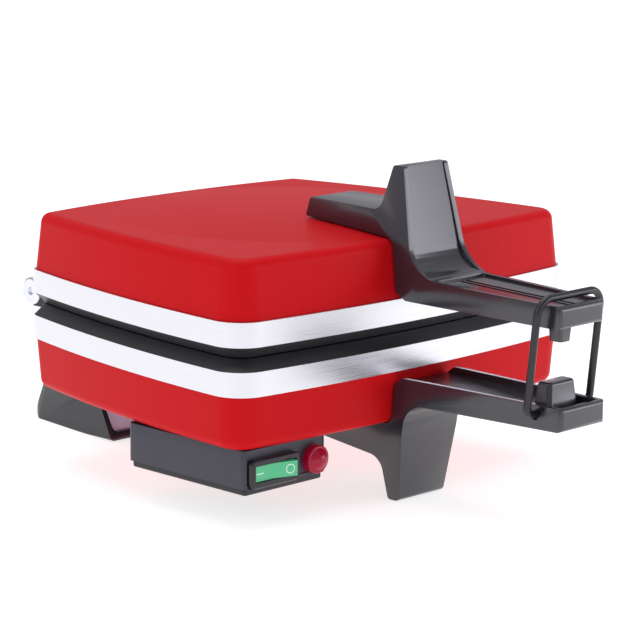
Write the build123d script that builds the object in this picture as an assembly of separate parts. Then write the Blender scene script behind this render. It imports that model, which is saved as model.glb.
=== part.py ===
"""Bubble waffle maker: two hinged cooking halves, moulded handles, a wire latch,
a rear foot and a control box. Millimetres. The model is worked out about the
centre of the body on the parting plane, X to the right, Y to the back, Z up,
and is written with the table at Z = 0 and the whole object centred in X and Y."""

import math
import os

from build123d import *

# Stance and reach, from the body centre and the parting plane
PARTING_HEIGHT = 80.3
FRONT_REACH = 190.3

# Body outline in plan: wide at the front, narrow at the back, all sides bowed
FRONT_HALF = 115.0
BACK_HALF = 90.6
HALF_DEPTH = 85.8
FRONT_BOW = 7.3
SIDE_BOW = 5.2
BACK_BOW = 7.2
FRONT_CORNER = 15.4
BACK_CORNER = 10.0
INNER_CORNER = 3.0

# Height of the layers of each half, from the parting plane
PARTING_GAP = 0.3
GROOVE_HALF = 5.6
GROOVE_EDGE = 0.1
BAND_HEIGHT = 11.5
BAND_WALL = 1.0
FLANGE_THICK = 1.0
FLANGE_WIDTH = 12.5
SHEET = 0.8
COVER_INSET = 1.2
LID_TOP = 44.8
LID_TOP_INSET = 4.3
BASE_TOP = 42.6
BASE_TOP_INSET = 3.3
COVER_EDGE = 5.0
CROWN_RISE = 3.0
CROWN_RADIUS = 84.0

# Cooking plates and their bubble cells
RIM_WIDTH = 13.0
RIM_INSET = 0.2
FIELD_DEPTH = 2.6
WEB = 4.6
CELL_RADIUS = 13.5
CELL_SINK = 1.5
CELL_WALL = 3.0
CELL_PITCH = 31.0
CELL_ROWS = (6, 5, 6, 5, 4)
DOME_FLAT = 17.2

# Heating stack over the plate
HEATER_RADIUS = 3.3
HEATER_BEND = 11.0
HEATER_HALF = 62.0
HEATER_INNER = 31.0
HEATER_DEPTH = 56.0
HEATER_COLD_END = 8.0
CLAMP_THICK = 1.2
CLAMP_INSET = 11.0
SPACER_LENGTH = 8.0
SPACER_RADIUS = 4.0
TRAY_THICK = 0.6
TRAY_INSET = 12.0
TRAY_LIP = 5.0
PILLAR_RADIUS = 5.0
PILLARS = ((0, -75.5), (0, 75.5), (-87, -27), (87, -27), (-73, 62), (73, 62))
STACK_SCREW = 2.0
SCREW_GRIP = 8.0
HEAD_RADIUS = 3.6
HEAD_HEIGHT = 2.4

# Rim screws that hold plate, band and cover together
SELF_TAP = 1.9
RIM_SCREW = 1.5
RIM_SCREW_HEAD = 2.7
RIM_SCREW_LINE = 8.6
RIM_SCREW_ANGLES = (24, 68, 112, 156, 204, 248, 292, 336)

# Hinge
HINGE_Y = 97.5
HINGE_Z = 2.6
LUG_RADIUS = 6.3
LUG_WIDTH = 6.6
LUG_OUTER = 79.2
LUG_GAP = 0.3
LUG_ARM = 4.2
BOLT_RADIUS = 3.0
BOLT_CLEARANCE = 0.05
BOLT_HEAD = 6.8
BOLT_HEAD_HEIGHT = 1.6
HEX_SOCKET = 2.3
NUT_RADIUS = 5.0
NUT_HEIGHT = 4.0

# Handles
ARM_REAR_HALF = 13.3
ARM_FRONT_HALF = 19.6
HANDLE_END_HALF = 15.5
ARM_REAR_Y = -29.0
HANDLE_ROOT_Y = -101.0
HANDLE_CORNER = 2.6
RIM_THICK = 2.8
FIN_TOP = 79.0
FIN_TIP_HALF = 15.0
FIN_RECESS = 1.6
UPPER_SHORT = 2.0
UPPER_UNDER = 17.0
UPPER_RIM = 28.6
UPPER_END_TOP = 26.4
UPPER_RECESS = 1.3
GROOVE_NEAR = 0.8
GROOVE_WIDTH = 2.2
GROOVE_DEPTH = 1.2
LOWER_RIM = -19.4
LOWER_UNDER = -30.6
LOWER_FLOOR = -22.6
LEG_FOOT_HALF = 15.5
HANDLE_GAP = 0.4
PEG_Y = -175.5
PEG_SIDE = 8.6
PEG_TIP = 7.2
PEG_BOTTOM = 7.7
BLOCK_Y = -173.9
BLOCK_WIDTH = 20.0
BLOCK_LENGTH = 10.0
BLOCK_CORNER = 2.4
BLOCK_TOP = -10.4

# Latch bail
WIRE_RADIUS = 1.75
WIRE_CLEARANCE = 0.05
BAIL_HALF = 22.0
BAIL_PIVOT_Y = -175.5
BAIL_PIVOT_Z = -23.6
BAIL_BAR_Y = -181.0
BAIL_BAR_Z = 29.6
BAIL_TOP_BEND = 8.0
BAIL_FOOT_BEND = 3.9
BAIL_HOOK = 12.9

# Rear foot
FOOT_FRONT_Y = 86.6
FOOT_FRONT_HALF = 38.0
FOOT_REAR_HALF = 29.6
FOOT_LEAN = 16.2
FOOT_THROAT = -51.5
FOOT_ROOF = -46.0
FOOT_ROOF_REAR_Y = 141.5
FOOT_TOE_Y = 158.6
FOOT_EDGE = 4.0
FOOT_WALL = 5.4
FOOT_RECESS = 2.8
FOOT_RAIL = 4.2
FOOT_PANEL = 3.0
TONGUE_HALF = 24.0
TONGUE_START = 48.0
TONGUE_THICK = 6.6

# Control box
BOX_LEFT = -104.8
BOX_RIGHT = -52.3
BOX_FRONT = -81.0
BOX_BACK = -1.8
BOX_BOTTOM = -64.3
BOX_LID = 3.2
BOX_LID_STEP = 1.4
BOX_WALL = 2.2
BOX_CORNER = 3.0
PANEL_RECESS = 0.7
PANEL_MARGIN = 1.6
SWITCH_X = -87.4
SWITCH_Z = -54.2
BEZEL_LENGTH = 30.2
BEZEL_HEIGHT = 13.4
BEZEL_THICK = 3.5
WINDOW_LENGTH = 26.0
WINDOW_HEIGHT = 7.8
ROCKER_GAP = 0.35
ROCKER_TILT = 9.0
ROCKER_PIVOT_DEPTH = 4.2
ROCKER_PIN = 1.0
SWITCH_DEPTH = 17.0
LAMP_X = -60.5
LAMP_Z = -53.6
LAMP_FLANGE = 6.7
LAMP_BODY = 4.4
LAMP_DOME = 5.2
LAMP_RISE = 2.8
LAMP_FLANGE_THICK = 4.0
GLAND_X = -77.0
GLAND_Z = -52.6
GLAND_RADIUS = 6.0
GLAND_BORE = 3.6
LEAD_HOLE = 6.0
LEAD_RADIUS = 1.2
LEAD_TURN_Y = -84.0


def slab(sketch, low, high):
    """A flat sketch made solid from one height to another."""
    return Pos(0, 0, low) * extrude(sketch, high - low)


def side_discs():
    """The four wide circles whose common area is the body outline."""
    side_middle = (FRONT_HALF + BACK_HALF) / 2 + SIDE_BOW
    front_left, front_right = (-FRONT_HALF, -HALF_DEPTH), (FRONT_HALF, -HALF_DEPTH)
    back_left, back_right = (-BACK_HALF, HALF_DEPTH), (BACK_HALF, HALF_DEPTH)
    arcs = [
        ThreePointArc(front_left, (0, -HALF_DEPTH - FRONT_BOW), front_right),
        ThreePointArc(front_right, (side_middle, 0), back_right),
        ThreePointArc(back_right, (0, HALF_DEPTH + BACK_BOW), back_left),
        ThreePointArc(back_left, (-side_middle, 0), front_left),
    ]
    return [(arc.arc_center.X, arc.arc_center.Y, arc.radius) for arc in arcs]


def outline(inset=0.0):
    """The body outline in plan, drawn in by inset on every side."""
    discs = [Pos(x, y) * Circle(radius - inset) for x, y, radius in side_discs()]
    face = discs[0] & discs[1] & discs[2] & discs[3]
    corners = []
    for corner in face.vertices():
        radius = FRONT_CORNER if corner.Y < 0 else BACK_CORNER
        corners.append((corner.X, corner.Y, max(radius - inset, INNER_CORNER)))
    return round_corners(face, corners)


def round_corners(sketch, corners):
    """Round the corners named by (u, v, radius) of a flat sketch."""
    for across, along, radius in corners:
        if radius:
            corner = sketch.vertices().sort_by_distance((across, along, 0))[0]
            sketch = fillet(corner, radius)
    return sketch


def profile(points):
    """A closed flat face from (u, v, corner radius) points."""
    ring = Polyline([(u, v) for u, v, _ in points], close=True)
    return round_corners(Sketch() + make_face(ring), points)


def side_prism(points, half_width):
    """A profile in Y and Z, carried along X to both sides."""
    return extrude(Plane.YZ * profile(points), half_width, both=True)


def plan_prism(points, low, high):
    """A profile in X and Y, carried up from one height to another."""
    return slab(profile(points), low, high)


def front_prism(points, reach):
    """A profile in X and Z, carried along Y to both sides."""
    return extrude(Plane.XZ * profile(points), reach, both=True)


def post(x, y, low, high, radius):
    """An upright round post."""
    return Pos(x, y, (low + high) / 2) * Cylinder(radius, abs(high - low))


def flip(part):
    """The same piece for the other half, under the parting plane."""
    return mirror(part, Plane.XY)


def cover_form(inner, top, top_inset, crown):
    """The full form of a drawn cover. inner is how far it lies inside the skin."""
    band_top = GROOVE_HALF + BAND_HEIGHT
    start = GROOVE_HALF + FLANGE_THICK if not inner else 0
    draft = math.degrees(math.atan((top_inset - COVER_INSET) / (top - band_top)))
    foot = outline(COVER_INSET + inner)
    upright = slab(foot, start, band_top)
    drawn = Pos(0, 0, band_top) * extrude(foot, top - inner - band_top, taper=draft)
    form = upright + drawn
    edges = [edge for edge in form.edges() if edge.bounding_box().min.Z > top - inner - 0.1]
    form = fillet(edges, COVER_EDGE - inner)
    if crown:
        ball = (CROWN_RADIUS**2 + crown**2) / (2 * crown)
        dome = Pos(0, 0, top + crown - ball) * Sphere(ball - inner)
        above = Pos(0, 0, top - inner - 0.4) * Cylinder(
            CROWN_RADIUS, 20, align=(Align.CENTER, Align.CENTER, Align.MIN)
        )
        form = form + (dome & above)
    return form


def rim_screw_places():
    """Places of the rim screws: the outline's inner line met by rays from the centre."""
    line = outline(RIM_SCREW_LINE).edges()
    places = []
    for angle in RIM_SCREW_ANGLES:
        turn = math.radians(angle)
        ray = Line((0, 0), (200 * math.cos(turn), 200 * math.sin(turn)))
        for edge in line:
            for point in edge.find_intersection_points(ray):
                places.append((point.X, point.Y))
    return places


def make_cover(top, top_inset, crown):
    """A drawn sheet cover with an inward flange under the rim screws."""
    shell = cover_form(0, top, top_inset, crown) - cover_form(SHEET, top, top_inset, crown)
    low = GROOVE_HALF + FLANGE_THICK
    flange = slab(outline(COVER_INSET) - outline(FLANGE_WIDTH), low, low + SHEET)
    shell = shell + flange
    for x, y in SCREW_PLACES:
        shell = shell - post(x, y, 0, GROOVE_HALF + 6, RIM_SCREW + 0.2)
    return shell


def make_band():
    """An aluminium rim band: an upright wall with an inward flange."""
    wall = slab(outline() - outline(BAND_WALL), GROOVE_HALF, GROOVE_HALF + BAND_HEIGHT)
    flange = slab(outline() - outline(FLANGE_WIDTH), GROOVE_HALF, GROOVE_HALF + FLANGE_THICK)
    band = wall + flange
    for x, y in SCREW_PLACES:
        band = band - post(x, y, 0, GROOVE_HALF + 6, RIM_SCREW + 0.2)
    return band


def cell_centres():
    """Centres of the bubble cells, in staggered rows from front to back."""
    step = CELL_PITCH * math.sqrt(3) / 2
    first = -step * (len(CELL_ROWS) - 1) / 2
    for row, count in enumerate(CELL_ROWS):
        for cell in range(count):
            yield ((cell - (count - 1) / 2) * CELL_PITCH, first + row * step)


def make_plate(lug_sign):
    """A cast cooking plate: bevelled rim, sunk field, bubble cells, pillars and lugs."""
    field = PARTING_GAP + FIELD_DEPTH
    rim_height = GROOVE_HALF - PARTING_GAP
    rim = slab(outline(RIM_INSET), PARTING_GAP, GROOVE_HALF)
    rim = chamfer(rim.faces().sort_by(Axis.Z)[0].outer_wire().edges(), rim_height - GROOVE_EDGE)
    web = slab(outline(RIM_WIDTH + 1.5), field, field + WEB)
    low = field - CELL_SINK
    centres = list(cell_centres())
    domes = [Pos(x, y, low) * Sphere(CELL_RADIUS + CELL_WALL) for x, y in centres]
    flats = Pos(0, 0, field) * Box(
        400, 400, DOME_FLAT - field, align=(Align.CENTER, Align.CENTER, Align.MIN)
    )
    pillars = [post(x, y, field, PILLAR_TOP, PILLAR_RADIUS) for x, y in PILLARS]
    body = Part() + [rim, web] + [dome & flats for dome in domes] + pillars
    body = body + hinge_lugs(lug_sign)
    body = body - slab(outline(RIM_WIDTH), PARTING_GAP - 1, field)
    body = body - [Pos(x, y, low) * Sphere(CELL_RADIUS) for x, y in centres]
    body = body - [post(x, y, PILLAR_TOP - 9, PILLAR_TOP + 1, STACK_SCREW) for x, y in PILLARS]
    sink = RIM_SCREW_HEAD - RIM_SCREW
    for x, y in SCREW_PLACES:
        body = body - post(x, y, 0, 9, RIM_SCREW + 0.2)
        cone = Cone(RIM_SCREW_HEAD + 0.2, RIM_SCREW + 0.2, sink)
        body = body - Pos(x, y, PARTING_GAP + sink / 2) * cone
    return body


def hinge_lugs(sign):
    """Hinge lugs at the back corners. sign +1 makes the inner, upper pair."""
    start = LUG_OUTER - LUG_WIDTH
    if sign > 0:
        start = LUG_OUTER - 2 * LUG_WIDTH - LUG_GAP
    axis_z = HINGE_Z * sign
    near = HALF_DEPTH - 6
    ring = Pos(start + LUG_WIDTH / 2, HINGE_Y, axis_z) * Rot(0, 90, 0) * Cylinder(
        LUG_RADIUS, LUG_WIDTH
    )
    arm = Pos(start + LUG_WIDTH / 2, (near + HINGE_Y) / 2, PARTING_GAP + 0.4 + LUG_ARM / 2) * Box(
        LUG_WIDTH, HINGE_Y - near, LUG_ARM
    )
    hole = Pos(start + LUG_WIDTH / 2, HINGE_Y, axis_z) * Rot(0, 90, 0) * Cylinder(
        BOLT_RADIUS + BOLT_CLEARANCE, LUG_WIDTH + 2
    )
    lug = ring + arm - hole
    return [lug, mirror(lug, Plane.YZ)]


def make_rim_screws():
    """Countersunk screws from the parting face into nuts over the cover flange."""
    sink = RIM_SCREW_HEAD - RIM_SCREW
    top = GROOVE_HALF + FLANGE_THICK + SHEET
    screws = []
    for x, y in SCREW_PLACES:
        shank = post(x, y, PARTING_GAP + sink, top + 2.6, RIM_SCREW)
        head = Pos(x, y, PARTING_GAP + sink / 2) * Cone(RIM_SCREW_HEAD, RIM_SCREW, sink)
        nut = post(x, y, top, top + 2.2, RIM_SCREW_HEAD)
        screws.append(Part() + [shank, head, nut])
    return screws


def make_heater():
    """A bent tube element: an M of four legs lying on the flats of the cells."""
    height = DOME_FLAT + HEATER_RADIUS
    half, depth, inner = HEATER_HALF, HEATER_DEPTH, HEATER_INNER
    points = [
        (-half, -depth - HEATER_COLD_END, height),
        (-half, depth, height),
        (-inner, depth, height),
        (-inner, -depth, height),
        (inner, -depth, height),
        (inner, depth, height),
        (half, depth, height),
        (half, -depth - HEATER_COLD_END, height),
    ]
    path = FilletPolyline(*points, radius=HEATER_BEND)
    start = Plane(path @ 0, z_dir=path % 0)
    return sweep(start * Circle(HEATER_RADIUS), path)


def make_clamp():
    """A pressed sheet that holds the element down on the cells."""
    clamp = slab(outline(CLAMP_INSET), PILLAR_TOP, PILLAR_TOP + CLAMP_THICK)
    for x, y in PILLARS:
        clamp = clamp - post(x, y, 0, 60, STACK_SCREW + 0.2)
    return clamp


def make_tray():
    """The reflector: a shallow tray with a lip turned towards the plate."""
    low = PILLAR_TOP + CLAMP_THICK + SPACER_LENGTH
    tray = slab(outline(TRAY_INSET), low, low + TRAY_THICK)
    lip = slab(outline(TRAY_INSET) - outline(TRAY_INSET + TRAY_THICK), low - TRAY_LIP, low)
    tray = tray + lip
    for x, y in PILLARS:
        tray = tray - post(x, y, 0, 60, STACK_SCREW + 0.2)
    return tray


def make_spacers():
    """Tubes that carry the reflector over the clamp sheet."""
    low = PILLAR_TOP + CLAMP_THICK
    spacers = []
    for x, y in PILLARS:
        tube = post(x, y, low, low + SPACER_LENGTH, SPACER_RADIUS)
        spacers.append(tube - post(x, y, 0, 60, STACK_SCREW + 0.2))
    return spacers


def make_stack_screws():
    """Screws through reflector, spacers and clamp into the pillars."""
    seat = PILLAR_TOP + CLAMP_THICK + SPACER_LENGTH + TRAY_THICK
    screws = []
    for x, y in PILLARS:
        shank = post(x, y, PILLAR_TOP - SCREW_GRIP, seat + 1, STACK_SCREW)
        head = post(x, y, seat, seat + HEAD_HEIGHT, HEAD_RADIUS)
        head = fillet(head.edges().sort_by(Axis.Z)[-1], HEAD_HEIGHT * 0.4)
        screws.append(shank + head)
    return screws


def handle_plan(end):
    """Plan outline of a handle that ends at end, narrow behind and at the grip."""
    half = (
        (ARM_REAR_HALF, ARM_REAR_Y + 4, 0),
        (ARM_FRONT_HALF, HANDLE_ROOT_Y, 25),
        (handle_half(end), end, HANDLE_CORNER),
    )
    left = [(-x, y, radius) for x, y, radius in reversed(half)]
    return list(half) + left


def handle_half(y):
    """Half width of the front arm at y."""
    share = (HANDLE_ROOT_Y - y) / (HANDLE_ROOT_Y + FRONT_REACH)
    return ARM_FRONT_HALF + (HANDLE_END_HALF - ARM_FRONT_HALF) * share


def channel(start, end, low, high, wall):
    """The space between the rims of an arm, from start to end along the arm."""
    wide, narrow = handle_half(start) - wall, handle_half(end) - wall
    points = [(wide, start, 1.5), (narrow, end, 1.5), (-narrow, end, 1.5), (-wide, start, 1.5)]
    return plan_prism(points, low, high)


def make_upper_handle():
    """Upper handle: arm over the lid, upright fin, open-topped arm and a peg."""
    gap = HANDLE_GAP
    cover_front = -(HALF_DEPTH + FRONT_BOW)
    wall_low = cover_front + COVER_INSET - gap
    wall_high = cover_front + LID_TOP_INSET - gap
    fin_slope = 5.9 / 29.3
    fin_front = -92.6
    corner_y = fin_front - (FIN_TOP - UPPER_RIM) * fin_slope
    end = UPPER_SHORT - FRONT_REACH
    points = [
        (ARM_REAR_Y + 1.2, LID_TOP + CROWN_RISE + 0.6, 1),
        (ARM_REAR_Y - 2.2, LID_TOP + 13.2, 2.5),
        (-80.0, LID_TOP + 12.8, 6),
        (-86.3, FIN_TOP, 1.6),
        (fin_front, FIN_TOP, 1.6),
        (corner_y, UPPER_RIM, 20),
        (end, UPPER_END_TOP, 2.5),
        (end, UPPER_UNDER - 0.8, 2.0),
        (-98.5, UPPER_UNDER + 0.4, 2),
        (wall_low, GROOVE_HALF + BAND_HEIGHT + 3.4, 1),
        (wall_high, LID_TOP + gap + 0.2, 4.6),
    ]
    handle = side_prism(points, 30)
    handle = handle & plan_prism(handle_plan(end), 0, 120)
    face = [(ARM_FRONT_HALF, -10, 0), (ARM_FRONT_HALF, 34, 150), (FIN_TIP_HALF, FIN_TOP + 1, 0)]
    face = face + [(-x, z, radius) for x, z, radius in reversed(face)]
    handle = handle & front_prism(face, 250)
    # The fin's front face and the arm are sunk between rims
    shift = FIN_RECESS
    inner = [
        (fin_front + shift, FIN_TOP + 5, 0),
        (corner_y + shift + 0.3, UPPER_RIM + 3.5, 14),
        (corner_y - 9, UPPER_RIM + 0.8, 0),
        (-140, UPPER_RIM + 20, 0),
        (-140, FIN_TOP + 5, 0),
    ]
    taper = (ARM_FRONT_HALF - FIN_TIP_HALF) / (FIN_TOP + 1 - 34)
    slot = [
        (ARM_FRONT_HALF - RIM_THICK, 20, 0),
        (ARM_FRONT_HALF - RIM_THICK, 34, 0),
        (FIN_TIP_HALF - RIM_THICK - taper * 5, FIN_TOP + 6, 0),
    ]
    slot = slot + [(-x, z, radius) for x, z, radius in reversed(slot)]
    handle = handle - (side_prism(inner, 30) & front_prism(slot, 250))
    handle = handle - arm_recess(corner_y, end)
    peg = Pos(0, PEG_Y, PEG_BOTTOM) * loft(
        [
            RectangleRounded(PEG_TIP, PEG_TIP, 1.6),
            Pos(0, 0, UPPER_UNDER + 1 - PEG_BOTTOM) * RectangleRounded(PEG_SIDE, PEG_SIDE, 1.6),
        ]
    )
    handle = handle + peg
    for y in HANDLE_SCREW_Y:
        tip = lid_inside(y) + SHEET + SCREW_GRIP + 0.5
        handle = handle - post(0, y, LID_TOP - 5, tip, SELF_TAP)
    return handle


def arm_recess(root, end):
    """The shallow space between the upper arm's rims, with two grooves in its floor."""
    start, stop = root - 12.5, end + RIM_THICK
    slope = (UPPER_END_TOP - UPPER_RIM) / (end - root)
    rim = [UPPER_RIM + slope * (y - root) for y in (start, stop)]
    floor = [
        (start, rim[0] - UPPER_RECESS, 0),
        (stop, rim[1] - UPPER_RECESS, 0),
        (stop, 60, 0),
        (start, 60, 0),
    ]
    recess = side_prism(floor, 30) & channel(start, stop, 0, 60, RIM_THICK)
    groove_floor = [
        (start - 2, rim[0] - UPPER_RECESS - GROOVE_DEPTH, 0),
        (stop, rim[1] - UPPER_RECESS - GROOVE_DEPTH, 0),
        (stop, 60, 0),
        (start - 2, 60, 0),
    ]
    groove = side_prism(groove_floor, GROOVE_WIDTH / 2)
    across = GROOVE_NEAR + GROOVE_WIDTH / 2
    return recess + Pos(across, 0, 0) * groove + Pos(-across, 0, 0) * groove


def make_lower_handle():
    """Lower handle: arm under the base, front leg, open-topped arm and peg block."""
    gap = HANDLE_GAP
    cover_front = -(HALF_DEPTH + FRONT_BOW)
    floor = -PARTING_HEIGHT
    points = [
        (ARM_REAR_Y, -BASE_TOP - gap, 1),
        (ARM_REAR_Y - 1.5, -56.4, 3),
        (-82.6, -60.2, 8),
        (-86.0, floor, 1.5),
        (-93.0, floor, 2.5),
        (-99.8, LOWER_UNDER - 0.9, 13),
        (-FRONT_REACH, LOWER_UNDER + 0.4, 2.5),
        (-FRONT_REACH, LOWER_RIM, 2.0),
        (-97.5, LOWER_RIM, 3),
        (cover_front + COVER_INSET - gap - 0.2, -23.0, 1),
        (cover_front + BASE_TOP_INSET - gap, -BASE_TOP - gap, 5.0),
    ]
    handle = side_prism(points, 30)
    handle = handle & plan_prism(handle_plan(-FRONT_REACH), -120, 0)
    face = [(ARM_FRONT_HALF, 10, 0), (ARM_FRONT_HALF, -44, 90), (LEG_FOOT_HALF, floor - 1, 0)]
    face = face + [(-x, z, radius) for x, z, radius in reversed(face)]
    handle = handle & front_prism(face, 250)
    handle = handle - channel(cover_front + 2, RIM_THICK - FRONT_REACH, LOWER_FLOOR, 0, RIM_THICK)
    block = Pos(0, BLOCK_Y, LOWER_FLOOR - 0.5) * loft(
        [
            RectangleRounded(BLOCK_WIDTH + 0.6, BLOCK_LENGTH + 0.6, BLOCK_CORNER),
            Pos(0, 0, BLOCK_TOP - LOWER_FLOOR + 0.5)
            * RectangleRounded(BLOCK_WIDTH - 2, BLOCK_LENGTH - 2.0, BLOCK_CORNER),
        ]
    )
    block = fillet(block.edges().group_by(Axis.Z)[-1], 1.6)
    handle = handle + block
    # Pockets and bores that take the hooks of the bail
    pocket = [
        (BAIL_PIVOT_Y + 4.8, LOWER_RIM - 0.4, 0),
        (BAIL_PIVOT_Y - 6.0, LOWER_RIM - 0.4, 0),
        (BAIL_PIVOT_Y, -27.4, 1.5),
    ]
    outer = handle_half(BAIL_PIVOT_Y)
    wedge = side_prism(pocket, 40) - Box(2 * outer - 2.4, 400, 200)
    handle = handle - wedge
    bore = Pos(0, BAIL_PIVOT_Y, BAIL_PIVOT_Z) * Rot(0, 90, 0) * Cylinder(
        WIRE_RADIUS + WIRE_CLEARANCE, 80
    )
    handle = handle - (bore - Box(2 * (BAIL_HOOK - 0.4), 400, 200))
    for y in HANDLE_SCREW_Y:
        handle = handle - post(0, y, -BASE_TOP + 5, -BASE_TOP - SCREW_GRIP - 0.5, SELF_TAP)
    return handle


def lid_inside(y):
    """Height of the inside of the crowned lid on its middle line."""
    ball = (CROWN_RADIUS**2 + CROWN_RISE**2) / (2 * CROWN_RISE)
    return LID_TOP + CROWN_RISE - ball + math.sqrt((ball - SHEET) ** 2 - y**2)


def make_handle_screws(y, seat, sign):
    """A screw from inside a cover, through it and into a handle's arm."""
    shank = post(0, y, seat - 0.2 * sign, seat + sign * (SHEET + SCREW_GRIP), SELF_TAP)
    return shank + post(0, y, seat, seat - sign * HEAD_HEIGHT, HEAD_RADIUS)


def make_leads():
    """Internal leads: two to the switch, one up to the end of the lower element."""
    clamp_z = BOX_BOTTOM + BOX_LID + 4.5
    tab_y = BOX_FRONT + PANEL_RECESS + SWITCH_DEPTH + 6.25
    leads = []
    for x, tab_x in ((GLAND_X - 8, SWITCH_X - 8), (GLAND_X, SWITCH_X + 8)):
        path = Spline(
            (x, -36, clamp_z), (tab_x, tab_y, SWITCH_Z), tangents=[(0, -1, 0), (0, -1, 0)]
        )
        leads.append(sweep(Plane(path @ 0, z_dir=path % 0) * Circle(LEAD_RADIUS), path))
    x, y = LEAD_PLACE
    end = -HEATER_DEPTH - HEATER_COLD_END
    under = -BASE_TOP + SHEET + 3.8
    height = -DOME_FLAT - HEATER_RADIUS
    points = [
        (x, -36, clamp_z),
        (x, y, clamp_z),
        (x, y, under),
        (-HEATER_HALF, LEAD_TURN_Y, under),
        (-HEATER_HALF, LEAD_TURN_Y, height),
        (-HEATER_HALF, end, height),
    ]
    path = FilletPolyline(*points, radius=4)
    leads.append(sweep(Plane(path @ 0, z_dir=path % 0) * Circle(LEAD_RADIUS), path))
    return leads


def make_bail():
    """The latch: a wire bent in a rectangle, hooked into the lower handle."""
    points = [
        (-BAIL_HOOK, BAIL_PIVOT_Y, BAIL_PIVOT_Z),
        (-BAIL_HALF, BAIL_PIVOT_Y, BAIL_PIVOT_Z),
        (-BAIL_HALF, BAIL_BAR_Y, BAIL_BAR_Z),
        (BAIL_HALF, BAIL_BAR_Y, BAIL_BAR_Z),
        (BAIL_HALF, BAIL_PIVOT_Y, BAIL_PIVOT_Z),
        (BAIL_HOOK, BAIL_PIVOT_Y, BAIL_PIVOT_Z),
    ]
    bends = [BAIL_FOOT_BEND, BAIL_TOP_BEND, BAIL_TOP_BEND, BAIL_FOOT_BEND]
    path = FilletPolyline(*points, radius=bends)
    start = Plane(path @ 0, z_dir=path % 0)
    return sweep(start * Circle(WIRE_RADIUS), path)


def foot_front(z, depth):
    """Y of the foot's leaning front at a height, depth behind its face."""
    share = (z + PARTING_HEIGHT) / (FOOT_THROAT + PARTING_HEIGHT)
    return FOOT_FRONT_Y + FOOT_LEAN * share + depth


def foot_rear(z, depth):
    """Y of the foot's leaning back at a height, depth inside its face."""
    share = (FOOT_ROOF - z) / (FOOT_ROOF + PARTING_HEIGHT)
    return FOOT_ROOF_REAR_Y + (FOOT_TOE_Y - FOOT_ROOF_REAR_Y) * share - depth


def foot_plan(wall, corner):
    """Plan of the foot, wall inside its sides, a little narrower at the back."""
    front, rear = FOOT_FRONT_Y - 4, FOOT_TOE_Y - wall
    half = [(FOOT_FRONT_HALF - wall, front, 0), (FOOT_REAR_HALF - wall, rear, corner)]
    return half + [(-x, y, radius) for x, y, radius in reversed(half)]


def make_rear_foot():
    """The rear foot: open underneath, a sunk front panel and a tongue under the base."""
    top = -BASE_TOP - HANDLE_GAP
    floor = -PARTING_HEIGHT
    start = FOOT_FRONT_Y - 4
    body = [
        (start, top, 0),
        (92, top, 0),
        (96, FOOT_ROOF, 2),
        (FOOT_ROOF_REAR_Y, FOOT_ROOF, FOOT_EDGE),
        (FOOT_TOE_Y, floor, FOOT_EDGE),
        (FOOT_FRONT_Y, floor, 1),
        (foot_front(FOOT_THROAT, 0), FOOT_THROAT, 4),
        (start, top - TONGUE_THICK, 0),
    ]
    foot = side_prism(body, 60) & plan_prism(foot_plan(0, 6), floor, top)
    across = [(FOOT_FRONT_HALF, top, 0), (FOOT_FRONT_HALF, floor, FOOT_EDGE)]
    across = across + [(-x, z, radius) for x, z, radius in reversed(across)]
    foot = foot & front_prism(across, 250)
    panel = [
        (foot_front(floor, 0) - 10, floor, 0),
        (foot_front(floor, FOOT_RECESS), floor, 0),
        (foot_front(FOOT_THROAT, FOOT_RECESS), FOOT_THROAT, 0),
        (foot_front(FOOT_THROAT, 0) - 10, FOOT_THROAT, 0),
    ]
    side = FOOT_FRONT_HALF - FOOT_RAIL
    window = [
        (side, floor + FOOT_RAIL, 3),
        (side, FOOT_THROAT + 4, 0),
        (-side, FOOT_THROAT + 4, 0),
        (-side, floor + FOOT_RAIL, 3),
    ]
    foot = foot - (side_prism(panel, 60) & front_prism(window, 250))
    roof = FOOT_ROOF - FOOT_PANEL
    behind = FOOT_RECESS + FOOT_PANEL
    hollow = [
        (foot_front(floor - 1, behind), floor - 1, 0),
        (foot_front(roof, behind), roof, 4),
        (foot_rear(roof, FOOT_WALL), roof, 4),
        (foot_rear(floor - 1, FOOT_WALL), floor - 1, 0),
    ]
    foot = foot - (side_prism(hollow, 60) & plan_prism(foot_plan(FOOT_WALL, 3), floor - 2, top))
    length = start + 1 - TONGUE_START
    tongue = Pos(0, TONGUE_START + length / 2, top - TONGUE_THICK / 2) * Box(
        2 * TONGUE_HALF, length, TONGUE_THICK
    )
    tongue = fillet(tongue.edges().filter_by(Axis.Z).sort_by(Axis.Y)[:2], 6)
    foot = foot + tongue
    for x in FOOT_SCREW_X:
        foot = foot - post(x, TONGUE_START + 12, top + 1, top - 9, SELF_TAP + 0.2)
    return foot


def make_foot_screws():
    """Screws up through the tongue of the foot into the base."""
    seat = -BASE_TOP - HANDLE_GAP - TONGUE_THICK
    screws = []
    for x in FOOT_SCREW_X:
        y = TONGUE_START + 12
        shank = post(x, y, seat - 0.2, -BASE_TOP + 5, SELF_TAP)
        head = post(x, y, seat, seat - HEAD_HEIGHT, HEAD_RADIUS)
        nut = post(x, y, -BASE_TOP + SHEET, -BASE_TOP + SHEET + 3, HEAD_RADIUS)
        screws.append(Part() + [shank, head, nut])
    return screws


def box_plan(inset):
    """Plan of the control box, drawn in by inset."""
    left, right = BOX_LEFT + inset, BOX_RIGHT - inset
    front, back = BOX_FRONT + inset, BOX_BACK - inset
    corner = max(BOX_CORNER - inset, 0.8)
    return profile(
        [(left, front, corner), (right, front, corner), (right, back, corner), (left, back, corner)]
    )


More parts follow.
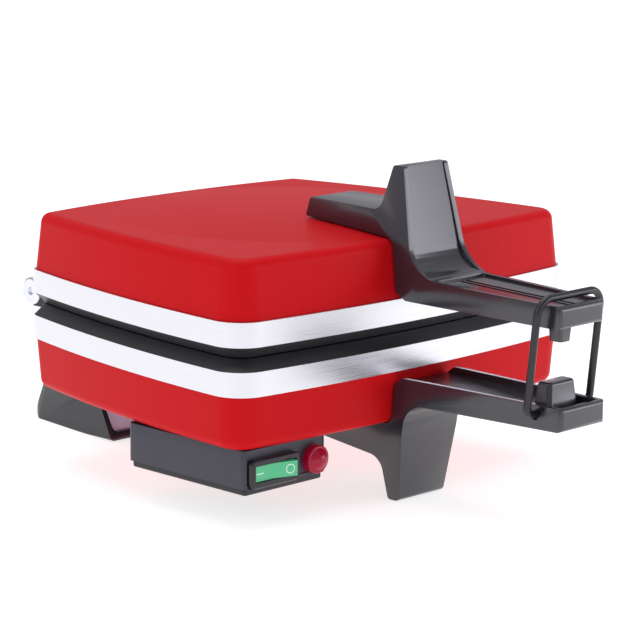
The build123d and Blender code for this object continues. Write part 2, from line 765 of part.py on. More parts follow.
def make_control_box():
    """The control box housing, open below, with its front panel and bores."""
    top = -BASE_TOP - HANDLE_GAP
    low = BOX_BOTTOM + BOX_LID
    box = slab(box_plan(0), low, top) - slab(box_plan(BOX_WALL), low - 1, top - BOX_WALL)
    width = BOX_RIGHT - BOX_LEFT - 2 * PANEL_MARGIN
    height = top - low - 2 * PANEL_MARGIN
    middle = (BOX_LEFT + BOX_RIGHT) / 2
    panel = Pos(middle, BOX_FRONT, (low + top) / 2) * Box(width, 2 * PANEL_RECESS, height)
    box = box - panel
    bezel_seat = Box(BEZEL_LENGTH + 0.2, 2 * PANEL_RECESS, BEZEL_HEIGHT + 0.2)
    box = box - Pos(SWITCH_X, BOX_FRONT, SWITCH_Z) * bezel_seat
    lamp_seat = Rot(90, 0, 0) * Cylinder(LAMP_FLANGE + 0.1, 2 * PANEL_RECESS)
    box = box - Pos(LAMP_X, BOX_FRONT, LAMP_Z) * lamp_seat
    cutout = Box(WINDOW_LENGTH + 2.2, 12, WINDOW_HEIGHT + 3.2)
    box = box - Pos(SWITCH_X, BOX_FRONT, SWITCH_Z) * cutout
    lamp_hole = Rot(90, 0, 0) * Cylinder(LAMP_BODY + 0.1, 12)
    box = box - Pos(LAMP_X, BOX_FRONT, LAMP_Z) * lamp_hole
    gland_hole = Rot(90, 0, 0) * Cylinder(GLAND_RADIUS + 0.1, 12)
    box = box - Pos(GLAND_X, BOX_BACK, GLAND_Z) * gland_hole
    box = box - post(*LEAD_PLACE, top - 6, top + 3, LEAD_HOLE)
    bosses = [post(x, y, low, top - BOX_WALL, 3.4) for x, y in BOX_SCREWS]
    box = box + bosses
    return box - [post(x, y, low - 1, low + 10, 1.4) for x, y in BOX_SCREWS]


def make_box_lid():
    """The bottom lid of the control box, one step in from its walls."""
    lid = slab(box_plan(BOX_LID_STEP), BOX_BOTTOM, BOX_BOTTOM + BOX_LID)
    lid = chamfer(lid.faces().sort_by(Axis.Z)[0].outer_wire().edges(), 0.6)
    for x, y in BOX_SCREWS:
        lid = lid - post(x, y, BOX_BOTTOM - 1, BOX_BOTTOM + BOX_LID + 1, 1.6)
        lid = lid - post(x, y, BOX_BOTTOM - 1, BOX_BOTTOM + 1.6, 2.9)
    return lid


def make_box_screws():
    """Screws of the box lid, sunk in its underside."""
    screws = []
    for x, y in BOX_SCREWS:
        head = post(x, y, BOX_BOTTOM + 0.2, BOX_BOTTOM + 1.6, 2.7)
        screws.append(head + post(x, y, BOX_BOTTOM + 1.4, BOX_BOTTOM + BOX_LID + 7, 1.4))
    return screws


def make_switch_frame():
    """The switch frame: bezel, window and the case behind the panel."""
    face = BOX_FRONT + PANEL_RECESS
    rim = Plane.XZ * RectangleRounded(BEZEL_LENGTH, BEZEL_HEIGHT, 2.4)
    bezel = extrude(rim, BEZEL_THICK)
    bezel = chamfer(bezel.faces().sort_by(Axis.Y)[0].outer_wire().edges(), 0.6)
    case = Pos(0, SWITCH_DEPTH / 2, 0) * Box(WINDOW_LENGTH + 1.8, SWITCH_DEPTH, WINDOW_HEIGHT + 2.8)
    well_depth = BEZEL_THICK + 9
    well = Pos(0, well_depth / 2 - BEZEL_THICK - 0.5, 0) * Box(
        WINDOW_LENGTH, well_depth + 1, WINDOW_HEIGHT
    )
    pins = Pos(0, ROCKER_PIVOT_DEPTH - BEZEL_THICK, 0) * Cylinder(
        ROCKER_PIN + 0.05, WINDOW_HEIGHT + 1.6
    )
    tabs = [Pos(x, SWITCH_DEPTH + 3, 0) * Box(0.8, 6.5, 4.8) for x in (-8, 8)]
    frame = bezel + case + tabs - well - pins
    return Pos(SWITCH_X, face, SWITCH_Z) * frame


def make_rocker():
    """The rocker, tilted to the side that switches on, with its two pivot pins."""
    face = BOX_FRONT + PANEL_RECESS - BEZEL_THICK
    half = WINDOW_LENGTH / 2 - 0.9
    rise = half * math.tan(math.radians(ROCKER_TILT))
    depth = ROCKER_PIVOT_DEPTH
    points = [
        (-half, -depth + 0.9 - rise, 0.5),
        (0, -depth + 0.9, 20),
        (half, -depth + 0.9 - rise, 0.5),
        (half - 1.5, 1.6, 1),
        (3, 3.8, 1),
        (-3, 3.8, 1),
        (-half + 1.5, 1.6, 1),
    ]
    height = WINDOW_HEIGHT - 2 * ROCKER_GAP
    body = slab(profile(points), -height / 2, height / 2)
    pin = Cylinder(ROCKER_PIN, WINDOW_HEIGHT + 1.2)
    rocker = Rot(0, 0, -ROCKER_TILT) * (body + pin)
    return Pos(SWITCH_X, face + depth, SWITCH_Z) * rocker


def make_lamp():
    """The indicator lamp: a sleeve through the panel and a domed lens on it."""
    face = BOX_FRONT + PANEL_RECESS
    turn = Rot(90, 0, 0)
    sleeve = Pos(0, 7, 0) * turn * Cylinder(LAMP_BODY, 14)
    proud = LAMP_FLANGE_THICK
    flange = Pos(0, -proud / 2, 0) * turn * Cylinder(LAMP_FLANGE, proud)
    flange = fillet(flange.edges().sort_by(Axis.Y)[0], 0.8)
    seat = Pos(0, -proud, 0) * turn * Cylinder(LAMP_DOME, 2)
    bezel = sleeve + flange - seat
    stub = Pos(0, 0.5 - proud, 0) * turn * Cylinder(LAMP_DOME - 0.05, 1.0)
    radius = (LAMP_DOME**2 + LAMP_RISE**2) / (2 * LAMP_RISE)
    dome = Pos(0, -proud - LAMP_RISE + radius, 0) * Sphere(radius)
    front = Pos(0, -proud - LAMP_RISE, 0) * turn * Cylinder(LAMP_DOME - 0.05, 2 * LAMP_RISE)
    lens = stub + (dome & front)
    place = Pos(LAMP_X, face, LAMP_Z)
    return place * bezel, place * lens


def make_gland():
    """The cord gland at the back of the box: bush and lock nut."""
    turn = Rot(90, 0, 0)
    body = Pos(0, -1, 0) * turn * Cylinder(GLAND_RADIUS, 12)
    collar = Pos(0, 3, 0) * turn * Cylinder(GLAND_RADIUS + 2, 6)
    collar = fillet(collar.edges().sort_by(Axis.Y)[-1], 1.5)
    bush = body + collar - turn * Cylinder(GLAND_BORE, 60)
    nut = extrude(Plane.XZ * RegularPolygon(GLAND_RADIUS + 1.6, 6), 3)
    nut = nut - turn * Cylinder(GLAND_RADIUS, 60)
    place = Pos(GLAND_X, BOX_BACK, GLAND_Z)
    return place * bush, place * Pos(0, -BOX_WALL, 0) * nut


def make_hinge_bolts():
    """Hinge bolts with round heads and hexagon sockets, one at each back corner."""
    inner = LUG_OUTER - 2 * LUG_WIDTH - LUG_GAP
    length = LUG_OUTER - inner + NUT_HEIGHT + 0.5
    bolts, nuts = [], []
    for side in (-1, 1):
        turn = Rot(0, 90 * side, 0)
        shank = Pos(side * (LUG_OUTER - length / 2), 0, 0) * turn * Cylinder(BOLT_RADIUS, length)
        head = Pos(side * (LUG_OUTER + BOLT_HEAD_HEIGHT / 2), 0, 0) * turn * Cylinder(
            BOLT_HEAD, BOLT_HEAD_HEIGHT
        )
        rim = head.edges().sort_by(Axis.X)
        head = fillet(rim[-1] if side > 0 else rim[0], 0.9)
        socket = Pos(side * (LUG_OUTER + BOLT_HEAD_HEIGHT), 0, 0) * turn * extrude(
            RegularPolygon(HEX_SOCKET, 6), 1.2, both=True
        )
        bolts.append(Pos(0, HINGE_Y, HINGE_Z) * (shank + head - socket))
        nut = Pos(side * (inner - 0.3 - NUT_HEIGHT), 0, 0) * turn * extrude(
            RegularPolygon(NUT_RADIUS, 6), NUT_HEIGHT
        )
        nut = nut - turn * Cylinder(BOLT_RADIUS, 400)
        nuts.append(Pos(0, HINGE_Y, HINGE_Z) * nut)
    return bolts, nuts


def make_thermostat(x, y):
    """A bimetal disc thermostat with a flange and two tabs, on the clamp sheet."""
    low = PILLAR_TOP + CLAMP_THICK
    body = post(x, y, low, low + 5, 8) + post(x, y, low, low + 0.8, 9.5)
    tabs = [Pos(x + side * 4.5, y, low + 6) * Box(0.8, 5, 3) for side in (-1, 1)]
    return body + tabs


def make_terminal_block():
    """A terminal block on the box lid, with three clamping bores."""
    low = BOX_BOTTOM + BOX_LID
    block = Pos(GLAND_X, -32, low + 5) * Box(26, 14, 10)
    for step in (-8, 0, 8):
        block = block - Pos(GLAND_X + step, -32, low + 4.5) * Rot(90, 0, 0) * Cylinder(2, 20)
        block = block - post(GLAND_X + step, -32, low + 5, low + 11, 1.8)
    return block


# Values that several pieces share. The foot's rounded toe is the rearmost point
FOOT_SLANT = math.atan2(FOOT_TOE_Y - FOOT_ROOF_REAR_Y, FOOT_ROOF + PARTING_HEIGHT)
TOE_LOSS = FOOT_EDGE * ((1 + math.sin(FOOT_SLANT)) / math.cos(FOOT_SLANT) - 1)
BODY_SHIFT = (FRONT_REACH - FOOT_TOE_Y + TOE_LOSS) / 2
PILLAR_TOP = DOME_FLAT + 2 * HEATER_RADIUS
SCREW_PLACES = rim_screw_places()
HANDLE_SCREW_Y = (-70, -42)
FOOT_SCREW_X = (-15, 15)
BOX_SCREWS = (
    (BOX_LEFT + 6.4, BOX_BACK - 6.4),
    (BOX_RIGHT - 6.4, BOX_BACK - 6.4),
    (BOX_RIGHT - 6.4, BOX_FRONT + 42),
    (BOX_LEFT + 6.4, BOX_FRONT + 42),
)
LEAD_PLACE = (-69.0, -48.0)


def make_all():
    """Every piece by its name, about the body centre and the parting plane."""
    upper_cover = make_cover(LID_TOP, LID_TOP_INSET, CROWN_RISE)
    for y in HANDLE_SCREW_Y:
        upper_cover = upper_cover - post(0, y, LID_TOP - 6, LID_TOP + 6, 2.1)
    lower_cover = flip(make_cover(BASE_TOP, BASE_TOP_INSET, 0))
    for y in HANDLE_SCREW_Y:
        lower_cover = lower_cover - post(0, y, -BASE_TOP - 6, -BASE_TOP + 6, 2.1)
    for x in FOOT_SCREW_X:
        lower_cover = lower_cover - post(x, TONGUE_START + 12, -BASE_TOP - 6, -BASE_TOP + 6, 2.1)
    lower_cover = lower_cover - post(*LEAD_PLACE, -BASE_TOP - 6, -BASE_TOP + 6, LEAD_HOLE)
    band = make_band()
    heater = make_heater()
    clamp = make_clamp()
    tray = make_tray()
    spacers = make_spacers()
    stack_screws = make_stack_screws()
    rim_screws = make_rim_screws()
    bolts, nuts = make_hinge_bolts()
    lamp_bezel, lamp_lens = make_lamp()
    gland, gland_nut = make_gland()
    thermostat = make_thermostat(28, 4)
    return {
        "upper_cover": upper_cover,
        "lower_cover": lower_cover,
        "upper_band": band,
        "lower_band": flip(band),
        "upper_plate": make_plate(1),
        "lower_plate": flip(make_plate(-1)),
        "upper_heater": heater,
        "lower_heater": flip(heater),
        "upper_heater_clamp": clamp,
        "lower_heater_clamp": flip(clamp),
        "upper_reflector": tray,
        "lower_reflector": flip(tray),
        "upper_spacers": spacers,
        "lower_spacers": [flip(piece) for piece in spacers],
        "upper_stack_screws": stack_screws,
        "lower_stack_screws": [flip(piece) for piece in stack_screws],
        "upper_rim_screws": rim_screws,
        "lower_rim_screws": [flip(piece) for piece in rim_screws],
        "safety_cutout": thermostat,
        "thermostat": flip(thermostat),
        "upper_handle": make_upper_handle(),
        "lower_handle": make_lower_handle(),
        "upper_handle_screws": [
            make_handle_screws(y, lid_inside(y) - 0.3, 1) for y in HANDLE_SCREW_Y
        ],
        "lower_handle_screws": [
            make_handle_screws(y, SHEET - BASE_TOP, -1) for y in HANDLE_SCREW_Y
        ],
        "latch_bail": make_bail(),
        "rear_foot": make_rear_foot(),
        "rear_foot_screws": make_foot_screws(),
        "hinge_bolts": bolts,
        "hinge_nuts": nuts,
        "control_box": make_control_box(),
        "control_box_lid": make_box_lid(),
        "box_lid_screws": make_box_screws(),
        "switch_frame": make_switch_frame(),
        "switch_rocker": make_rocker(),
        "lamp_bezel": lamp_bezel,
        "lamp_lens": lamp_lens,
        "cord_gland": gland,
        "gland_nut": gland_nut,
        "terminal_block": make_terminal_block(),
        "internal_leads": make_leads(),
    }


def main():
    """Write one STEP file for each piece, standing on the table."""
    os.makedirs("parts", exist_ok=True)
    place = Pos(0, BODY_SHIFT, PARTING_HEIGHT)
    for name, piece in make_all().items():
        solids = piece if isinstance(piece, list) else [piece]
        placed = [solid for item in solids for solid in (place * item).solids()]
        export_step(Compound(placed), os.path.join("parts", name + ".step"))


main()
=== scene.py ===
# %% [markdown]
# # Bubble waffle maker
# A countertop cooker with two hinged halves, photographed closed on a white ground. The
# solids already stand in their places, in metres, with the table at z = 0. This notebook
# gives them their finishes, prints the marks on the rocker, rounds the edges of the mouldings
# and lights them.

import math

import bmesh
import bpy
import numpy as np
from mathutils import Matrix, Vector


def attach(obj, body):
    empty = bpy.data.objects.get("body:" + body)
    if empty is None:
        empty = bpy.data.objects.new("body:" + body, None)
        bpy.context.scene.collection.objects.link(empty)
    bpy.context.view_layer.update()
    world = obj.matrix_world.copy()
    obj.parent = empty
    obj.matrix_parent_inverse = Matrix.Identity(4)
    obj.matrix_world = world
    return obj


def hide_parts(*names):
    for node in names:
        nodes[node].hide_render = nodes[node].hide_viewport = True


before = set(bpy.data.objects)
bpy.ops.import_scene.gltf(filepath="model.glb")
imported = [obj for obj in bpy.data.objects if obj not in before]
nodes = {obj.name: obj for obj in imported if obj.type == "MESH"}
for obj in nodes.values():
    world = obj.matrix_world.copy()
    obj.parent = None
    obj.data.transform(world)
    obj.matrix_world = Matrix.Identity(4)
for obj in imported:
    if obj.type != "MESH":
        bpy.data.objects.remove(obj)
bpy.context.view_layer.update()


def add_object(name, data):
    """A new object that holds a mesh, a light or a camera, put in the scene."""
    thing = bpy.data.objects.new(name, data)
    bpy.context.scene.collection.objects.link(thing)
    return thing



# %% [markdown]
# ## Camera
# A product picture is usually taken with a long lens from a little above. The height of the
# parting line at both ends of the body and the way the long sides run together fix where the
# camera stood. A camera is a point, three axes and a lens, so it is set by a matrix: a Track To
# constraint would also aim it, but it would lose the slight roll of the real picture.

# %% Camera
BODY_CENTRE = Vector((0.0, 0.017082, 0.0803))
AZIMUTH = math.radians(-45.55)
ELEVATION = math.radians(11.381)
ROLL = math.radians(0.52)
DISTANCE = 1.35433
AIM_RIGHT = -0.017588
AIM_UP = 0.008625
SENSOR = 36.0
FOCAL_PIXELS = 2747.4
PICTURE_WIDTH = 640

back = Vector(
    (
        math.sin(AZIMUTH) * math.cos(ELEVATION),
        -math.cos(AZIMUTH) * math.cos(ELEVATION),
        math.sin(ELEVATION),
    )
)
level = Vector((math.cos(AZIMUTH), math.sin(AZIMUTH), 0.0))
upright = back.cross(level)
right = level * math.cos(ROLL) + upright * math.sin(ROLL)
up = upright * math.cos(ROLL) - level * math.sin(ROLL)
eye = BODY_CENTRE + back * DISTANCE - right * AIM_RIGHT - up * AIM_UP

camera_data = bpy.data.cameras.new("camera")
camera_data.sensor_width = SENSOR
camera_data.lens = FOCAL_PIXELS * SENSOR / PICTURE_WIDTH
camera = add_object("camera", camera_data)
camera.matrix_world = Matrix.Translation(eye) @ Matrix((right, up, back)).transposed().to_4x4()
bpy.context.scene.camera = camera
print("camera at", [round(v, 4) for v in eye], "lens", round(camera_data.lens, 2))

# %% [markdown]
# ## Floor and light
# The object was lit by big soft sources from both sides and stands on white. A large pale
# floor, a bright even surround and three soft boxes give that. The boxes are area lights:
# a point light would draw a small hard spot on the lacquer, which the picture doesn't have.
# The camera sees the surround as plain white, while the object is lit by a dimmer, cooler one.

# %% Floor and light
FLOOR_HALF = 6.0
FLOOR_LEVEL = -0.0002
PAPER_SHADE = (0.55, 0.55, 0.56, 1.0)
PAPER_ROUGHNESS = 0.9
PAPER_GLOW = 0.72
MIDDLE = (0.0, 0.0, 0.08)
WHITE = (1.0, 1.0, 1.0)
COOL_WHITE = (0.92, 0.91, 1.0)
SURROUND_TINT = (0.94, 0.93, 1.0, 1.0)
SURROUND = 0.5
SEEN_WHITE = 1.0


def make_floor():
    """A flat square just under the table's height, in white paper that glows a little."""
    side = np.array([(-1, -1), (1, -1), (1, 1), (-1, 1)]) * FLOOR_HALF
    corners = np.column_stack([side, np.full(4, FLOOR_LEVEL)])
    mesh = bpy.data.meshes.new("floor")
    mesh.from_pydata(corners.tolist(), [], [(0, 1, 2, 3)])
    floor = add_object("floor", mesh)
    paper = bpy.data.materials.new("white_paper")
    paper.use_nodes = True
    shader = paper.node_tree.nodes["Principled BSDF"]
    shader.inputs["Base Color"].default_value = PAPER_SHADE
    shader.inputs["Roughness"].default_value = PAPER_ROUGHNESS
    shader.inputs["Emission Color"].default_value = (*WHITE, 1.0)
    shader.inputs["Emission Strength"].default_value = PAPER_GLOW
    mesh.materials.append(paper)


def soft_box(name, place, width, height, power, tint=WHITE):
    """A rectangular soft box at a place, in metres and watts, turned to face the object."""
    light = bpy.data.lights.new(name, "AREA")
    light.shape = "RECTANGLE"
    light.size = width
    light.size_y = height
    light.energy = power
    light.color = tint
    box = add_object(name, light)
    turn = (Vector(MIDDLE) - Vector(place)).to_track_quat("-Z", "Y")
    box.matrix_world = Matrix.Translation(Vector(place)) @ turn.to_matrix().to_4x4()


make_floor()
soft_box("left_box", (-1.9, 0.15, 1.1), 1.6, 1.4, 8)
soft_box("right_box", (1.5, -1.5, 0.45), 1.6, 0.8, 12, COOL_WHITE)
soft_box("top_box", (0.1, 0.3, 2.0), 1.8, 1.8, 20)

world = bpy.data.worlds.new("studio")
world.use_nodes = True
sky = world.node_tree
ray = sky.nodes.new("ShaderNodeLightPath").outputs["Is Camera Ray"]
amount = sky.nodes.new("ShaderNodeMapRange")
sky.links.new(ray, amount.inputs["Value"])
amount.inputs["To Min"].default_value = SURROUND
amount.inputs["To Max"].default_value = SEEN_WHITE
sky.links.new(amount.outputs["Result"], sky.nodes["Background"].inputs["Strength"])
hue = sky.nodes.new("ShaderNodeMix")
hue.data_type = "RGBA"
sky.links.new(ray, hue.inputs["Factor"])
hue.inputs["A"].default_value = SURROUND_TINT
hue.inputs["B"].default_value = (*WHITE, 1.0)
sky.links.new(hue.outputs["Result"], sky.nodes["Background"].inputs["Color"])
bpy.context.scene.world = world
bpy.context.scene.view_settings.view_transform = "Standard"

# %% [markdown]
# ## Shared effects
# Mouldings, lacquer and castings all have a faint unevenness: a fine grain in the surface and
# slow cloudy changes in how glossy it is. Both are made once as a node group and set per
# material. A second group draws long thin streaks, for metal that was brushed along its length.

# %% Shared effects


def new_group(name, inputs, outputs):
    """An empty shader group with float inputs (name, value) and typed outputs."""
    group = bpy.data.node_groups.new(name, "ShaderNodeTree")
    for label, value in inputs:
        socket = group.interface.new_socket(label, in_out="INPUT", socket_type="NodeSocketFloat")
        socket.default_value = value
    for label, kind in outputs:
        group.interface.new_socket(label, in_out="OUTPUT", socket_type=kind)
    return group, group.nodes.new("NodeGroupInput"), group.nodes.new("NodeGroupOutput")


def math_node(tree, operation, first, second):
    """A Math node; each operand is a socket or a number."""
    node = tree.nodes.new("ShaderNodeMath")
    node.operation = operation
    for socket, value in zip(node.inputs, (first, second)):
        if isinstance(value, (int, float)):
            socket.default_value = value
        else:
            tree.links.new(value, socket)
    return node.outputs[0]


def noise_node(tree, vector, scale, detail=3.0):
    """A Noise texture on a vector, with a scale that is a socket or a number."""
    node = tree.nodes.new("ShaderNodeTexNoise")
    tree.links.new(vector, node.inputs["Vector"])
    if isinstance(scale, (int, float)):
        node.inputs["Scale"].default_value = scale
    else:
        tree.links.new(scale, node.inputs["Scale"])
    node.inputs["Detail"].default_value = detail
    return node.outputs["Fac"]


def spread_about(tree, centre, noise, spread):
    """centre + (noise - 0.5) * spread."""
    signed = math_node(tree, "SUBTRACT", noise, 0.5)
    return math_node(tree, "ADD", centre, math_node(tree, "MULTIPLY", signed, spread))


STREAK_SQUEEZE = (0.012, 0.012, 1.0)
GRAIN_DETAIL = 2.0
STREAK_DETAIL = 4.0

surface_group, entry, leave = new_group(
    "uneven surface",
    [("Roughness", 0.3), ("Clouding", 0.1), ("Cloud Scale", 30.0), ("Grain Scale", 2500.0)],
    [("Roughness", "NodeSocketFloat"), ("Shade", "NodeSocketFloat"), ("Height", "NodeSocketFloat")],
)
place = surface_group.nodes.new("ShaderNodeTexCoord").outputs["Object"]
clouds = noise_node(surface_group, place, entry.outputs["Cloud Scale"])
grain = noise_node(surface_group, place, entry.outputs["Grain Scale"], GRAIN_DETAIL)
rough = spread_about(surface_group, entry.outputs["Roughness"], clouds, entry.outputs["Clouding"])
surface_group.links.new(rough, leave.inputs["Roughness"])
surface_group.links.new(clouds, leave.inputs["Shade"])
surface_group.links.new(grain, leave.inputs["Height"])

streak_group, entry, leave = new_group(
    "brushed streaks",
    [("Roughness", 0.25), ("Spread", 0.2), ("Fineness", 1800.0)],
    [("Roughness", "NodeSocketFloat"), ("Shade", "NodeSocketFloat"), ("Height", "NodeSocketFloat")],
)
place = streak_group.nodes.new("ShaderNodeTexCoord").outputs["Object"]
squeeze = streak_group.nodes.new("ShaderNodeVectorMath")
squeeze.operation = "MULTIPLY"
streak_group.links.new(place, squeeze.inputs[0])
squeeze.inputs[1].default_value = STREAK_SQUEEZE
lines = noise_node(streak_group, squeeze.outputs[0], entry.outputs["Fineness"], STREAK_DETAIL)
rough = spread_about(streak_group, entry.outputs["Roughness"], lines, entry.outputs["Spread"])
streak_group.links.new(rough, leave.inputs["Roughness"])
streak_group.links.new(lines, leave.inputs["Shade"])
streak_group.links.new(lines, leave.inputs["Height"])
print("groups:", surface_group.name, "and", streak_group.name)

# %% [markdown]
# ## Finishes
# One function lays out every finish: the group gives cloudy roughness and a height, two shades
# of the colour are mixed by the clouds, and a Bump node turns the height into a faint relief.
# Values that are the same all over, such as coat and specular, go straight on the shader.

# %% Finish helper


def linear(red, green, blue):
    """A colour as seen on screen, 0 to 255, turned to linear light by the sRGB curve."""
    seen = np.array([red, green, blue]) / 255
    light = np.where(seen <= 0.04045, seen / 12.92, ((seen + 0.055) / 1.055) ** 2.4)
    return (*light.tolist(), 1.0)


def finish(name, shade, other, group, values, bump=0.0, relief=0.0001, **constants):
    """A Principled material with two shades mixed by a group's clouds."""
    material = bpy.data.materials.new(name)
    material.use_nodes = True
    tree = material.node_tree
    shader = tree.nodes["Principled BSDF"]
    effect = tree.nodes.new("ShaderNodeGroup")
    effect.node_tree = group
    for label, value in values.items():
        effect.inputs[label].default_value = value
    mix = tree.nodes.new("ShaderNodeMix")
    mix.data_type = "RGBA"
    tree.links.new(effect.outputs["Shade"], mix.inputs["Factor"])
    mix.inputs["A"].default_value = shade
    mix.inputs["B"].default_value = other
    tree.links.new(mix.outputs["Result"], shader.inputs["Base Color"])
    tree.links.new(effect.outputs["Roughness"], shader.inputs["Roughness"])
    if bump:
        relief_node = tree.nodes.new("ShaderNodeBump")
        relief_node.inputs["Strength"].default_value = bump
        relief_node.inputs["Distance"].default_value = relief
        tree.links.new(effect.outputs["Height"], relief_node.inputs["Height"])
        tree.links.new(relief_node.outputs["Normal"], shader.inputs["Normal"])
    for label, value in constants.items():
        shader.inputs[label.replace("_", " ")].default_value = value
    return material


def dress(material, *names):
    """Put a finish on CAD nodes."""
    for name in names:
        mesh = nodes[name].data
        mesh.materials.clear()
        mesh.materials.append(material)


# %% [markdown]
# ## Red lacquer
# The covers are pressed steel with a baked red lacquer. Its colour is even, so the two shades
# are close, and it reflects little, so no lamp shows on it as a spot. A faint fine bump keeps
# the big flat sides from looking like glass.

# %% Red lacquer
red_lacquer = finish(
    "red_paint",
    linear(204, 18, 25),
    linear(198, 15, 22),
    surface_group,
    {"Roughness": 0.42, "Clouding": 0.05, "Cloud Scale": 14.0, "Grain Scale": 900.0},
    bump=0.05,
    relief=0.00004,
    Specular_IOR_Level=0.07,
)
dress(red_lacquer, "upper_cover", "lower_cover")

# %% [markdown]
# ## Metals
# The bands are rolled aluminium, brushed along their length, so the streaks run level. The
# bolts are bright steel, the wire is black, and the hidden sheets and screws are plain.

# %% Metals
band_metal = finish(
    "satin_aluminium",
    linear(214, 214, 219),
    linear(236, 236, 240),
    streak_group,
    {"Roughness": 0.3, "Spread": 0.2, "Fineness": 2600.0},
    bump=0.12,
    relief=0.00005,
    Metallic=1.0,
)
dress(band_metal, "upper_band", "lower_band")

bright_steel = finish(
    "bright_bolt",
    linear(232, 233, 238),
    linear(214, 216, 224),
    surface_group,
    {"Roughness": 0.12, "Clouding": 0.08, "Cloud Scale": 120.0, "Grain Scale": 3000.0},
    Metallic=1.0,
)
dress(bright_steel, "hinge_bolts")

zinc_steel = finish(
    "fastener_steel",
    linear(176, 176, 180),
    linear(150, 150, 156),
    surface_group,
    {"Roughness": 0.34, "Clouding": 0.2, "Cloud Scale": 300.0, "Grain Scale": 4000.0},
    Metallic=1.0,
)
dress(
    zinc_steel,
    "upper_rim_screws",
    "lower_rim_screws",
    "upper_stack_screws",
    "lower_stack_screws",
    "upper_spacers",
    "lower_spacers",
    "upper_handle_screws",
    "lower_handle_screws",
    "rear_foot_screws",
    "box_lid_screws",
    "hinge_nuts",
)

mill_sheet = finish(
    "inner_sheet",
    linear(190, 190, 192),
    linear(168, 168, 172),
    surface_group,
    {"Roughness": 0.4, "Clouding": 0.2, "Cloud Scale": 60.0, "Grain Scale": 2000.0},
    Metallic=1.0,
)
dress(mill_sheet, "upper_heater_clamp", "lower_heater_clamp", "upper_reflector", "lower_reflector")

sheath = finish(
    "heater_sheath",
    linear(120, 112, 104),
    linear(84, 76, 72),
    surface_group,
    {"Roughness": 0.5, "Clouding": 0.2, "Cloud Scale": 90.0, "Grain Scale": 3000.0},
    bump=0.1,
    Metallic=1.0,
)
dress(sheath, "upper_heater", "lower_heater")

wire_black = finish(
    "bail_wire",
    linear(34, 33, 38),
    linear(26, 25, 30),
    surface_group,
    {"Roughness": 0.32, "Clouding": 0.1, "Cloud Scale": 200.0, "Grain Scale": 3000.0},
    bump=0.05,
)
dress(wire_black, "latch_bail")

# %% [markdown]
# ## Plate coating
# The cast plates wear a dark release coating with a fine speckle, duller than the plastic.
# Their bevelled rims are what shows as the black groove round the closed cooker.

# %% Plate coating
plate_coating = finish(
    "plate_coating",
    linear(26, 26, 29),
    linear(38, 38, 42),
    surface_group,
    {"Roughness": 0.4, "Clouding": 0.12, "Cloud Scale": 500.0, "Grain Scale": 6000.0},
    bump=0.2,
    relief=0.00004,
)
dress(plate_coating, "upper_plate", "lower_plate")

# %% [markdown]
# ## Black mouldings
# The handles are glossy phenolic and the foot is duller. The control box has a fine grain
# that scatters light, which makes it look blue grey beside the handles.

# %% Black mouldings
handle_black = finish(
    "handle_black",
    linear(38, 37, 46),
    linear(31, 30, 38),
    surface_group,
    {"Roughness": 0.26, "Clouding": 0.1, "Cloud Scale": 40.0, "Grain Scale": 1500.0},
    bump=0.05,
    relief=0.00004,
    Specular_IOR_Level=0.7,
    Coat_Weight=0.45,
    Coat_Roughness=0.12,
)
dress(handle_black, "upper_handle", "lower_handle")

foot_black = finish(
    "foot_plastic",
    linear(30, 29, 37),
    linear(25, 24, 31),
    surface_group,
    {"Roughness": 0.28, "Clouding": 0.1, "Cloud Scale": 40.0, "Grain Scale": 1500.0},
    bump=0.05,
    relief=0.00004,
    Specular_IOR_Level=0.45,
    Coat_Weight=0.2,
    Coat_Roughness=0.14,
)
dress(foot_black, "rear_foot")

box_grey = finish(
    "box_plastic",
    linear(58, 56, 68),
    linear(50, 48, 60),
    surface_group,
    {"Roughness": 0.42, "Clouding": 0.08, "Cloud Scale": 50.0, "Grain Scale": 2600.0},
    bump=0.15,
    relief=0.00004,
)
dress(box_grey, "control_box")

lid_black = finish(
    "box_lid_plastic",
    linear(34, 33, 38),
    linear(28, 27, 32),
    surface_group,
    {"Roughness": 0.45, "Clouding": 0.08, "Cloud Scale": 50.0, "Grain Scale": 2600.0},
    bump=0.15,
    relief=0.00004,
)
dress(lid_black, "control_box_lid")

trim_black = finish(
    "switch_frame_black",
    linear(30, 30, 34),
    linear(24, 24, 28),
    surface_group,
    {"Roughness": 0.22, "Clouding": 0.06, "Cloud Scale": 120.0, "Grain Scale": 3000.0},
)
dress(trim_black, "switch_frame", "cord_gland", "gland_nut")

dark_phenolic = finish(
    "thermostat_body",
    linear(58, 40, 32),
    linear(42, 30, 26),
    surface_group,
    {"Roughness": 0.35, "Clouding": 0.1, "Cloud Scale": 200.0, "Grain Scale": 3000.0},
)
dress(dark_phenolic, "thermostat", "safety_cutout")

white_block = finish(
    "terminal_white",
    linear(222, 220, 212),
    linear(210, 207, 198),
    surface_group,
    {"Roughness": 0.45, "Clouding": 0.1, "Cloud Scale": 200.0, "Grain Scale": 3000.0},
)
dress(white_block, "terminal_block")

lead_sleeve = finish(
    "lead_sleeve",
    linear(196, 194, 186),
    linear(178, 176, 168),
    surface_group,
    {"Roughness": 0.5, "Clouding": 0.1, "Cloud Scale": 300.0, "Grain Scale": 3000.0},
)
dress(lead_sleeve, "internal_leads")

# %% [markdown]
# ## Lit plastics
# The rocker and the lamp are translucent mouldings, and the ring of the lamp has the same red.
# Full transmission would show the empty case behind them, so they are mostly coloured plastic
# with a share of transmission and a faint glow, which is how they read in daylight. The glow is
# painted light, standing in for the daylight that passes through them.

# %% Lit plastics
rocker_green = finish(
    "rocker_green",
    linear(84, 200, 144),
    linear(66, 184, 126),
    surface_group,
    {"Roughness": 0.2, "Clouding": 0.06, "Cloud Scale": 200.0, "Grain Scale": 2000.0},
    Coat_Weight=0.4,
    Transmission_Weight=0.15,
    # Painted glow, standing in for daylight passing through the rocker.
    Emission_Color=linear(60, 200, 130),
    Emission_Strength=0.12,
)
dress(rocker_green, "switch_rocker")

